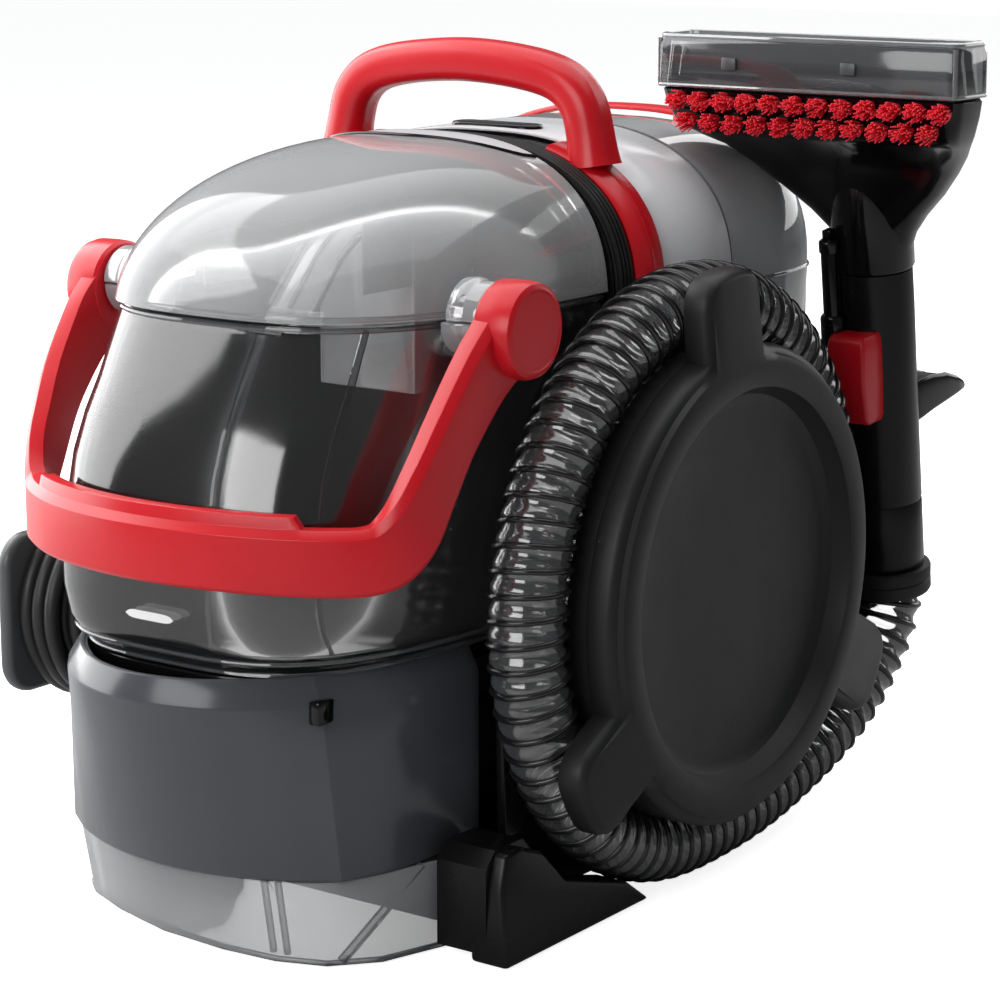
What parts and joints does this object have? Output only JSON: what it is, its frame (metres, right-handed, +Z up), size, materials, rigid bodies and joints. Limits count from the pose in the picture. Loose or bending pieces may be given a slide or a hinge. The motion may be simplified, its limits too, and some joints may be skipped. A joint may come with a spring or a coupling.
{
  "type": "carpet cleaner machine",
  "caption": "Portable carpet spot cleaner with lift-off clear tanks, hinged bail, carry handle, wrapped suction hose with wand and brush tool, and a wound mains cord.",
  "frame": {"origin": "on the floor under the carry handle, at the middle of the base", "axes": "+Z up, -Y is the front with the dirty-water tank, +X is the hose side"},
  "size_m": [0.3353, 0.429, 0.3377],
  "materials": {
    "red_gloss": "gloss",
    "black_satin": "satin",
    "black_matte": "matte",
    "grey_gloss": "gloss",
    "clear_plastic": "clear, slightly smoky",
    "smoke_clear": "smoke",
    "hose_clear": "clear with a black helix",
    "pale_panel": "gloss",
    "steel": "satin",
    "rubber": "matte",
    "white_plastic": "satin",
    "dark_plastic": "satin",
    "metal_works": "satin",
    "board_green": "satin"
  },
  "bodies": {
    "base": {"base_pan": "black_satin", "rubber_feet": "rubber", "front_skirt": "clear_plastic", "front_fascia": "grey_gloss", "tank_deck": "black_satin", "housing_left": "black_satin", "housing_right": "black_satin", "rear_housing": "black_satin", "exhaust_grille": "black_satin", "side_panel_left": "black_satin", "side_panel_right": "black_satin", "ribbed_strip": "black_matte", "top_cover": "pale_panel", "carry_handle": "red_gloss", "side_trims": "red_gloss", "case_screws": "steel", "vacuum_motor": "metal_works", "motor_mount": "rubber", "fan_housing": "dark_plastic", "suction_duct": "dark_plastic", "circuit_board": "board_green", "pump": "metal_works", "heater": "metal_works", "water_line": "white_plastic", "hose_hub": "black_satin", "wrap_flange": "black_matte", "flange_screws": "steel", "hose_port": "black_satin", "suction_hose": "hose_clear", "tool_holder": "grey_gloss", "cord_hook_front": "grey_gloss", "strain_relief": "rubber", "cord_lead": "rubber", "cord_winding": "rubber", "mains_plug": "rubber", "wand_grip": "black_satin", "hose_collar": "black_satin", "trigger_pin": "steel", "spray_tube": "black_satin"},
    "dirty_tank": {"dirty_tank": "clear_plastic"},
    "lid": {"tank_lid": "clear_plastic", "lid_gasket": "rubber", "separator": "clear_plastic"},
    "float": {"float_ball": "white_plastic"},
    "bail": {"bail": "red_gloss", "bail_pins": "steel", "bail_knobs": "red_gloss"},
    "clean_tank": {"clean_tank": "clear_plastic", "clean_tank_strap": "red_gloss", "fill_cap": "black_satin"},
    "valve": {"tank_valve": "white_plastic"},
    "impeller": {"impeller": "dark_plastic"},
    "switch": {"power_switch": "black_satin"},
    "cord_hook": {"cord_hook_rear": "grey_gloss"},
    "trigger": {"spray_trigger": "red_gloss"},
    "latch": {"wand_latch": "black_satin"},
    "tool": {"tool_head": "black_satin", "nozzle_window": "smoke_clear", "window_clips": "black_satin", "bristles": "red_gloss"}
  },
  "joints": [
    {"name": "dirty_tank_lift", "type": "slide", "parent": "base", "child": "dirty_tank", "axis": [0, 0, 1], "range_m": [0, 0.15]},
    {"name": "lid_lift", "type": "slide", "parent": "dirty_tank", "child": "lid", "axis": [0, 0, 1], "range_m": [0, 0.05]},
    {"name": "float_rise", "type": "slide", "parent": "lid", "child": "float", "axis": [0, 0, 1], "range_m": [0, 0.02]},
    {"name": "bail_swing", "type": "hinge", "parent": "dirty_tank", "child": "bail", "pos_m": [0, -0.113, 0.238], "axis": [-1, 0, 0], "range_deg": [0, 115]},
    {"name": "clean_tank_draw", "type": "slide", "parent": "base", "child": "clean_tank", "axis": [0, 1, 0], "range_m": [0, 0.12]},
    {"name": "valve_push", "type": "slide", "parent": "clean_tank", "child": "valve", "axis": [0, 0, 1], "range_m": [0, 0.006], "stiffness_N_per_m": 400},
    {"name": "impeller_spin", "type": "hinge", "parent": "base", "child": "impeller", "pos_m": [0, 0.015, 0.138], "axis": [0, 0, 1], "continuous": true},
    {"name": "switch_rock", "type": "hinge", "parent": "base", "child": "switch", "pos_m": [0, 0.015, 0.2936], "axis": [0, 1, 0], "range_deg": [-6, 6]},
    {"name": "cord_hook_turn", "type": "hinge", "parent": "base", "child": "cord_hook", "pos_m": [-0.12, 0.104, 0.097], "axis": [1, 0, 0], "range_deg": [0, 180]},
    {"name": "trigger_pull", "type": "hinge", "parent": "base", "child": "trigger", "pos_m": [0.116, 0.12208, 0.19907], "axis": [1, 0, 0], "range_deg": [0, 8], "stiffness_Nm_per_rad": 0.5},
    {"name": "latch_press", "type": "hinge", "parent": "base", "child": "latch", "pos_m": [0.116, 0.15873, 0.17897], "axis": [1, 0, 0], "range_deg": [0, 15], "stiffness_Nm_per_rad": 0.5},
    {"name": "tool_pull", "type": "slide", "parent": "base", "child": "tool", "axis": [0, -0.1392, 0.9903], "range_m": [0, 0.06]}
  ]
}
